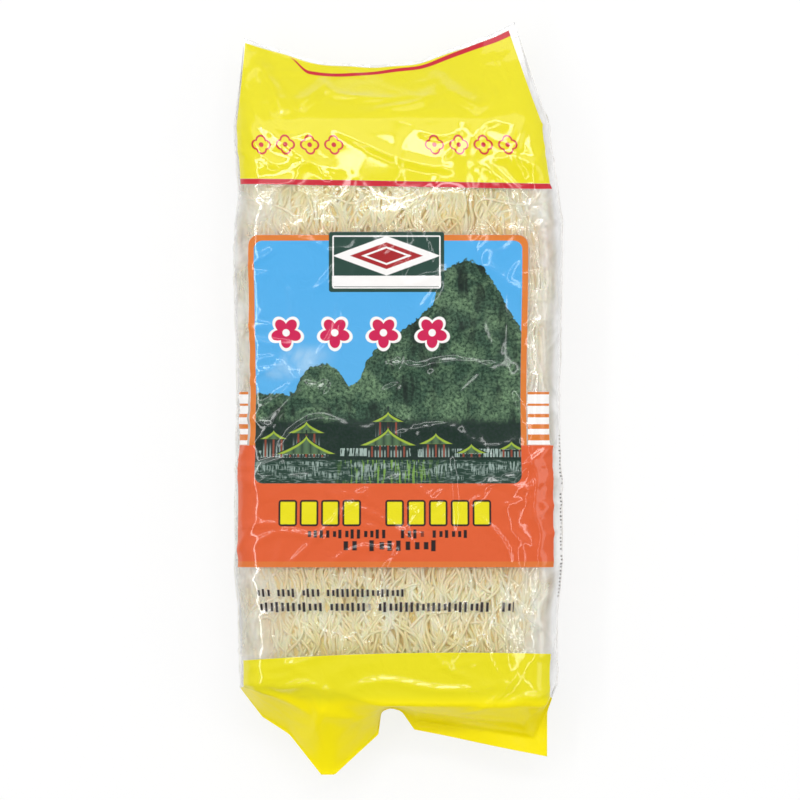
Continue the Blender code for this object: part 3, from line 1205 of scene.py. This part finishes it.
    def crumple(self, points, u, v, share) -> np.ndarray:
        """Lets the film stand out in creases. Where it lies flat, both its sheets rise together.

        Args:
            points: The smooth film's places.
            u: How far round the pack each is.
            v: How far along the pack each is.
            share: How far each row is from the brick's end to the film's free edge.

        Returns:
            The crumpled film's places.
        """
        seam, panel = self.shape.seam, self.shape.panel
        flat = ease(share / self.flat_from)
        inward = np.sign(u) * np.minimum(np.minimum(np.abs(u), seam - np.abs(u)), panel)
        together = self.relief(inward, v) * (1 - 0.8 * ease((share - 0.9) / 0.1))
        under = ease((np.abs(u) - 0.6 * seam) / (0.25 * seam))
        apart = (self.relief(u, v) + 0.0001) * (1 - under)
        points = points + self.outward(points) * (apart * (1 - flat))[..., None]
        points[..., 2] += together * flat
        wobble = 0.0003 * wave_field(inward, 0 * u, 0.020, 29) * ease((share - 0.6) / 0.4) * (v > 0)
        points[..., 1] += wobble * np.cos(math.pi * inward / (2 * panel))
        points[..., 2] = np.maximum(points[..., 2], 0.0001)
        return points

    def relief(self, u, v) -> np.ndarray:
        """How far the crumpled film stands out at each place, in metres."""
        bend = 0.006 * wave_field(u, v, 0.060, 3)
        slack = mix(0.2, 0.9, ease(0.5 + 0.5 * wave_field(u, v, 0.070, 17)))
        slack = slack + 0.2 * np.exp(-(((np.abs(u) - 0.066) / 0.010) ** 2))
        height = np.zeros_like(u)
        for size, length, seed, way in self.crumples:
            waves = np.abs(wave_field(u + way * bend, v - way * bend, length, seed))
            height = height + size * slack * np.exp(-1.6 * waves)
        for fold in self.folds + self.scattered_folds():
            height = height + fold.relief(u, v)
        return height

    def scattered_folds(self) -> tuple:
        """Short creases all over the front and sides, in fixed random places."""
        rng = np.random.default_rng(21)
        folds = []
        for index in range(self.loose_folds):
            at = np.array((rng.uniform(-98, 98), rng.uniform(-150, 150)))
            heading = rng.uniform(0, math.pi)
            if index % 3 == 0:
                at[0] = rng.choice((-1, 1)) * rng.normal(62, 5)
                heading = rng.normal(0.2, 0.5)
            reach = rng.uniform(4, 18)
            step = reach * np.array((math.cos(heading), math.sin(heading)))
            sag = rng.uniform(-0.25, 0.25) * np.array((-step[1], step[0]))
            points = (tuple(at - step), tuple(at + sag), tuple(at + step))
            width = rng.uniform(1.5, 2.4)
            folds.append(Fold(points, width * rng.uniform(0.14, 0.30), width))
        return tuple(folds)

    def place(self, film, points, u, v, share) -> None:
        """Moves the grid's corners to their places and writes the film's flat coordinates."""
        mesh = film.data
        mesh.vertices.foreach_set("co", points[::-1].reshape(-1))
        mesh.uv_layers[0].name = "film"
        flat = np.stack((u, v), axis=-1)[::-1].reshape(-1, 2)
        corner = np.empty(len(mesh.loops), int)
        mesh.loops.foreach_get("vertex_index", corner)
        mesh.uv_layers[0].data.foreach_set("uv", flat[corner].reshape(-1))
        out = mesh.attributes.new("out", "FLOAT", "POINT")
        out.data.foreach_set("value", np.broadcast_to(share, u.shape)[::-1].reshape(-1))
        mesh.update()

    def close(self, film) -> None:
        """Welds the back seam and the seals, and shades the film smooth."""
        bpy.ops.object.mode_set(mode="EDIT")
        bpy.ops.mesh.select_all(action="SELECT")
        bpy.ops.mesh.remove_doubles(threshold=0.00002)
        bpy.ops.mesh.normals_make_consistent(inside=False)
        bpy.ops.object.mode_set(mode="OBJECT")
        bpy.ops.object.shade_smooth_by_angle(angle=math.radians(75))


# --- The noodles ---


@dataclass
class NoodleBrick:
    """The pressed brick of noodles: skins of real strands over a smaller core."""

    shape: PackShape
    radius: float = 0.00068
    pitch: float = 0.00142
    gap_to_film: float = 0.0004
    room_left: float = 0.0003
    room_right: float = 0.0022
    layer_step: float = 0.0010
    core_depth: float = 0.0030
    step: float = 0.0028

    def build(self) -> list:
        """Makes the core and every skin of strands.

        Returns:
            Their objects.
        """
        rng = np.random.default_rng(5)
        outer = NoodleFinish("rice_noodles").build()
        # Painted shade: the inner layers get darker, warmer colours than the outer strands because they
        # lie deeper in shade, and a stronger painted glow.
        inner = NoodleFinish(
            "rice_noodles_inner_shaded",
            cream=ink(240, 213, 144),
            pale=ink(248, 229, 172),
            warm=ink(230, 195, 116),
            painted_glow=0.03,
        ).build()
        back = self.shape.seam * 0.5
        under = self.shape.seam - self.shape.flat_run
        skins = {
            "noodles_front": self.runners(rng, -0.066, 0.066, 0),
            "noodles_front_inner": [
                *self.runners(rng, -0.066, 0.066, 1),
                *self.runners(rng, -0.065, 0.065, 2),
            ],
            "noodles_right": self.layers(rng, 0.066, back + 0.018, 3),
            "noodles_left": self.layers(rng, -back - 0.018, -0.066, 3),
            "noodles_back": self.runners(rng, under, 2 * self.shape.seam - under, 0),
            "noodles_loose_top": self.strays(rng, 190, 0.054, self.shape.brick_top - 0.003, 0.30),
            "noodles_loose_bottom": self.strays(rng, 200, self.shape.brick_bottom - 0.001, -0.056, 0.16),
        }
        pieces = [
            self.tube(name, strands, inner if name.endswith("inner") else outer)
            for name, strands in skins.items()
        ]
        pieces.append(self.core())
        return pieces

    def layers(self, rng, start: float, end: float, count: int) -> list:
        """Strands of the first few layers from u = start to u = end."""
        return [places for layer in range(count) for places in self.runners(rng, start, end, layer)]

    def runners(self, rng, start: float, end: float, layer: int) -> list:
        """Strands that run the brick's whole length, side by side, in bunches that sway together.

        Args:
            rng: The source of their unevenness.
            start: u of the first strand.
            end: u of the last strand.
            layer: 0 for the outer layer, 1 for the one under it, and so on.

        Returns:
            Each strand's places.
        """
        strands = []
        bunch = None
        for u in np.arange(start, end, self.pitch * (1 + 0.05 * layer)):
            if bunch is None or rng.random() < 0.22:
                bunch = self.sway(rng, 0.0012, 0.0022)
            low = self.shape.brick_bottom + rng.uniform(0.000, 0.006)
            high = self.shape.brick_top - rng.uniform(0.001, 0.010)
            y = np.arange(low, high, self.step)
            own = self.sway(rng, 0.0003, 0.0008)
            wild = 1 + 1.8 * ease((np.abs(y + 0.003) - 0.055) / 0.05)
            sideways = u + (bunch(y) + own(y)) * wild + rng.normal(0, 0.0003)
            sunk = 0.0012 * ease((np.abs(y + 0.003) - 0.058) / 0.015) * (np.abs(u) < 0.070)
            strands.append(self.lay(sideways, y, self.depth(rng, y, layer) + sunk))
        return strands

    def sway(self, rng, small: float, large: float):
        """A function that gives how far a bunch sways sideways at each y."""
        turn = math.tau
        waves = [
            (rng.uniform(small, large) * share, turn / rng.uniform(*lengths), rng.uniform(0, turn))
            for share, lengths in ((1.0, (0.045, 0.09)), (0.5, (0.018, 0.035)), (0.22, (0.009, 0.014)))
        ]

        def at(y):
            """The sway at y."""
            return sum(size * np.sin(pace * y + phase) for size, pace, phase in waves)

        return at

    def depth(self, rng, y, layer: int):
        """How deep a strand lies under the film at each y: it passes over and under its neighbours."""
        size = 0.0005 + 0.0002 * layer
        weave = size * np.sin(math.tau * y / rng.uniform(0.02, 0.05) + rng.uniform(0, math.tau))
        return self.gap_to_film + self.radius + self.layer_step * layer + size + weave

    def strays(self, rng, count: int, low: float, high: float, curled: float) -> list:
        """Loose strands that wander and curl over the front near one end of the brick.

        Args:
            rng: The source of their unevenness.
            count: How many there are.
            low: The lowest y that they reach.
            high: The highest y that they reach.
            curled: The share of them that turn back on themselves.

        Returns:
            Each strand's places.
        """
        strands = []
        for _ in range(count):
            length = rng.uniform(0.030, 0.090)
            steps = max(8, round(length / 0.0017))
            run = np.linspace(0, length, steps)
            middle = np.array((rng.uniform(-0.066, 0.066), rng.uniform(low, high)))
            lean = 0.30 * float(wave_field(middle[:1], middle[1:], 0.045, 41)[0])
            heading = math.pi / 2 + lean + rng.normal(0, 0.20)
            sizes = rng.uniform(0.2, 0.8), rng.uniform(0.0, 0.4)
            for size, lengths in zip(sizes, ((0.016, 0.045), (0.040, 0.090))):
                pace = math.tau / rng.uniform(*lengths)
                heading = heading + size * np.sin(pace * run + rng.uniform(0, math.tau))
            if rng.random() < curled:
                turn = rng.choice((-1, 1)) * rng.uniform(1.6, 3.4)
                start = rng.uniform(0.2, 0.6)
                heading = heading + turn * ease((run / length - start) / rng.uniform(0.2, 0.4))
            pace = length / (steps - 1)
            u = np.cumsum(np.cos(heading)) * pace
            y = np.cumsum(np.sin(heading)) * pace
            u, y = u - u.mean() + middle[0], y - y.mean() + middle[1]
            inside = (y > low) & (y < high) & (np.abs(u) < 0.067)
            u, y = u[inside], y[inside]
            if len(u) < 6:
                continue
            weave = 0.0005 * np.sin(math.tau * y / rng.uniform(0.01, 0.03) + rng.uniform(0, math.tau))
            depth = self.gap_to_film + self.radius + 0.0005 + weave + rng.uniform(0, 0.0022)
            strands.append(self.lay(u, y, depth))
        return strands

    def lay(self, u, y, depth) -> np.ndarray:
        """Places on the brick at u and y, this deep under the film."""
        x, z, out_x, out_z = self.shape.section(u, y)
        room = np.where(u > 0, self.room_right, self.room_left) * out_x**2
        depth = depth + np.abs(room)
        return np.stack((x - out_x * depth, y, z - out_z * depth), axis=-1)

    def tube(self, name: str, strands: list, finish: bpy.types.Material) -> bpy.types.Object:
        """Makes one mesh of round strands.

        Args:
            name: The piece's name.
            strands: Each strand's places.
            finish: The noodles' material.

        Returns:
            The piece.
        """
        curve = bpy.data.curves.new(name, "CURVE")
        curve.dimensions = "3D"
        curve.bevel_depth = self.radius
        curve.bevel_resolution = 1
        curve.use_fill_caps = True
        for places in strands:
            spline = curve.splines.new("POLY")
            spline.points.add(len(places) - 1)
            spline.points.foreach_set("co", np.column_stack((places, np.ones(len(places)))).reshape(-1))
            spline.use_smooth = True
        piece = bpy.data.objects.new(name, curve)
        bpy.context.scene.collection.objects.link(piece)
        bpy.ops.object.select_all(action="DESELECT")
        piece.select_set(True)
        bpy.context.view_layer.objects.active = piece
        bpy.ops.object.convert(target="MESH")
        piece = bpy.context.active_object
        piece.data.materials.clear()
        piece.data.materials.append(finish)
        return piece

    def core(self) -> bpy.types.Object:
        """The brick's inside, seen only between the strands: a rounded block with a grooved face."""
        shape = self.shape
        size = (
            2 * (shape.half - shape.waist - self.core_depth),
            shape.brick_top - shape.brick_bottom - 0.004,
            shape.thickness - 2 * self.core_depth,
        )
        middle = (0.0, (shape.brick_top + shape.brick_bottom) / 2, shape.thickness / 2 - shape.crown / 2)
        bpy.ops.object.select_all(action="DESELECT")
        bpy.ops.mesh.primitive_cube_add(size=1.0, location=middle, scale=size)
        core = bpy.context.active_object
        core.name = core.data.name = "noodle_core"
        bpy.ops.object.transform_apply(location=True, rotation=True, scale=True)
        bpy.ops.object.mode_set(mode="EDIT")
        bpy.ops.mesh.select_all(action="SELECT")
        bpy.ops.mesh.bevel(offset=0.008, segments=5)
        bpy.ops.object.mode_set(mode="OBJECT")
        for kind, settings in (
            ("REMESH", {"mode": "VOXEL", "voxel_size": 0.0022}),
            ("SMOOTH", {"iterations": 2}),
        ):
            modifier = core.modifiers.new(kind.lower(), kind)
            for name, value in settings.items():
                setattr(modifier, name, value)
            bpy.ops.object.modifier_apply(modifier=modifier.name)
        places = np.empty(3 * len(core.data.vertices))
        core.data.vertices.foreach_get("co", places)
        places = places.reshape(-1, 3)
        grooves = wave_field(places[:, 0] + places[:, 2], places[:, 1] * 0.15, 0.006, 31)
        out = places - np.array(middle)
        out /= np.linalg.norm(out, axis=1, keepdims=True)
        places = places + out * (0.0003 * grooves)[:, None]
        x, y, z = places.T
        z = z - shape.fall(x, y) * z / shape.thickness
        places = np.stack((x * shape.half_width(y) / shape.half + shape.middle_at(y), y, z), axis=-1)
        core.data.vertices.foreach_set("co", places.reshape(-1))
        core.data.update()
        bpy.ops.object.shade_smooth()
        # Painted shade: the core, seen only in the gaps between strands, is darker and warmer than the
        # strands. It also gets painted ink reflection and a stronger painted glow.
        warm = NoodleFinish(
            "noodle_core",
            cream=ink(232, 207, 144),
            pale=ink(240, 219, 162),
            warm=ink(222, 190, 122),
            glow=0.3,
            painted_glow=0.04,
        )
        core.data.materials.clear()
        core.data.materials.append(warm.build())
        return core


# --- The studio ---


@dataclass(frozen=True)
class Lamp:
    """An oblong soft lamp that points at the pack."""

    name: str
    place: tuple
    sides: tuple
    watts: float

    def build(self) -> None:
        """Adds the lamp to the scene."""
        bpy.ops.object.light_add(type="AREA", location=self.place)
        lamp = bpy.context.active_object
        lamp.name = self.name
        lamp.data.shape = "RECTANGLE"
        lamp.data.size, lamp.data.size_y = self.sides
        lamp.data.energy = self.watts
        lamp.rotation_euler = (-Vector(self.place)).to_track_quat("-Z", "Y").to_euler()


@dataclass
class Studio:
    """A white table under soft lamps, and a camera that looks straight down on the pack."""

    aim: tuple = (0.0009, -0.0006)
    distance: float = 3.5
    view_width: float = 0.330
    focus_height: float = 0.028
    sensor: float = 36.0
    white: tuple = (1.0, 1.0, 1.0, 1.0)
    world_strength: float = 0.58
    zenith_strength: float = 0.12
    lamps: tuple = (
        Lamp("strip_top", (0.00, 0.66, 1.75), (1.60, 0.13), 6.3),
        Lamp("strip_left", (-0.80, 0.05, 1.60), (1.40, 0.15), 5.5),
        Lamp("strip_near", (-0.10, 0.34, 1.75), (1.60, 0.05), 1.7),
        Lamp("strip_right", (0.38, -0.05, 1.75), (1.20, 0.05), 1.3),
        Lamp("broad_top", (0.00, 1.25, 1.70), (1.60, 0.90), 5.0),
        Lamp("right_lamp", (1.10, 0.00, 1.30), (0.90, 0.50), 2.0),
    )

    def build(self) -> None:
        """Sets up the floor, lamps, world and camera."""
        self.floor()
        for lamp in self.lamps:
            lamp.build()
        self.world()
        self.camera()
        bpy.context.scene.view_settings.view_transform = "Standard"

    def floor(self) -> None:
        """A wide white table that keeps the pack's shadow."""
        bpy.ops.mesh.primitive_plane_add(size=8.0, location=(0, 0, -0.0002))
        floor = bpy.context.active_object
        floor.name = "white_table"
        tree = Tree.of_material("white_table")
        paint = tree.shader("BsdfPrincipled", {"Base Color": ink(250, 250, 250), "Roughness": 0.9})
        glow = tree.shader("Emission", {"Color": self.white, "Strength": 1.0})
        seen = Number(tree, tree.node("ShaderNodeLightPath").outputs["Is Camera Ray"])
        floor.data.materials.append(tree.finish(tree.layered(seen * 0.8, paint, glow)))
        floor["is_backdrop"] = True

    def world(self) -> None:
        """A white room: plain white to the camera, and dimmer as light."""
        world = bpy.data.worlds.new("white_room")
        bpy.context.scene.world = world
        tree = Tree(world)
        path = tree.node("ShaderNodeLightPath")
        direction = tree.node("ShaderNodeTexCoord").outputs["Generated"]
        away, up = tree.part(direction, 1), tree.part(direction, 2)
        room_seen = up.rise(0.97, 0.80) * (away.rise(-0.5, 0.4) * 0.85 + 0.15)
        glossy = room_seen * (self.world_strength - self.zenith_strength) + self.zenith_strength
        mirrored = Number(tree, path.outputs["Is Glossy Ray"])
        strength = mirrored * (glossy - self.world_strength) + self.world_strength
        room = tree.shader("Background", {"Color": self.white, "Strength": strength})
        backdrop = tree.shader("Background", {"Color": self.white})
        seen = path.outputs["Is Camera Ray"]
        tree.finish(tree.layered(seen, room, backdrop), "ShaderNodeOutputWorld")

    def camera(self) -> None:
        """A long lens straight above the pack, its top end up."""
        place = (*self.aim, self.focus_height + self.distance)
        bpy.ops.object.camera_add(location=place, rotation=(0, 0, 0))
        camera = bpy.context.active_object
        camera.data.sensor_width = self.sensor
        camera.data.lens = self.sensor * self.distance / self.view_width
        camera.data.clip_end = 20.0
        bpy.context.scene.camera = camera


def main() -> None:
    """Builds the pack and the studio."""
    logging.basicConfig(level=logging.INFO, format="%(name)s: %(message)s")
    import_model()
    low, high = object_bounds()
    shape = PackShape(tuple(low), tuple(high))
    film = FilmBag(shape).build()
    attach(film, "root")
    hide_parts("sealed_bag")
    LOG.info("film: %d faces", len(film.data.polygons))
    for piece in NoodleBrick(shape).build():
        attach(piece, "root")
        triangles = sum(len(face.vertices) - 2 for face in piece.data.polygons)
        LOG.info("%s: %d triangles", piece.name, triangles)
    Studio().build()


if __name__ == "__main__":
    main()
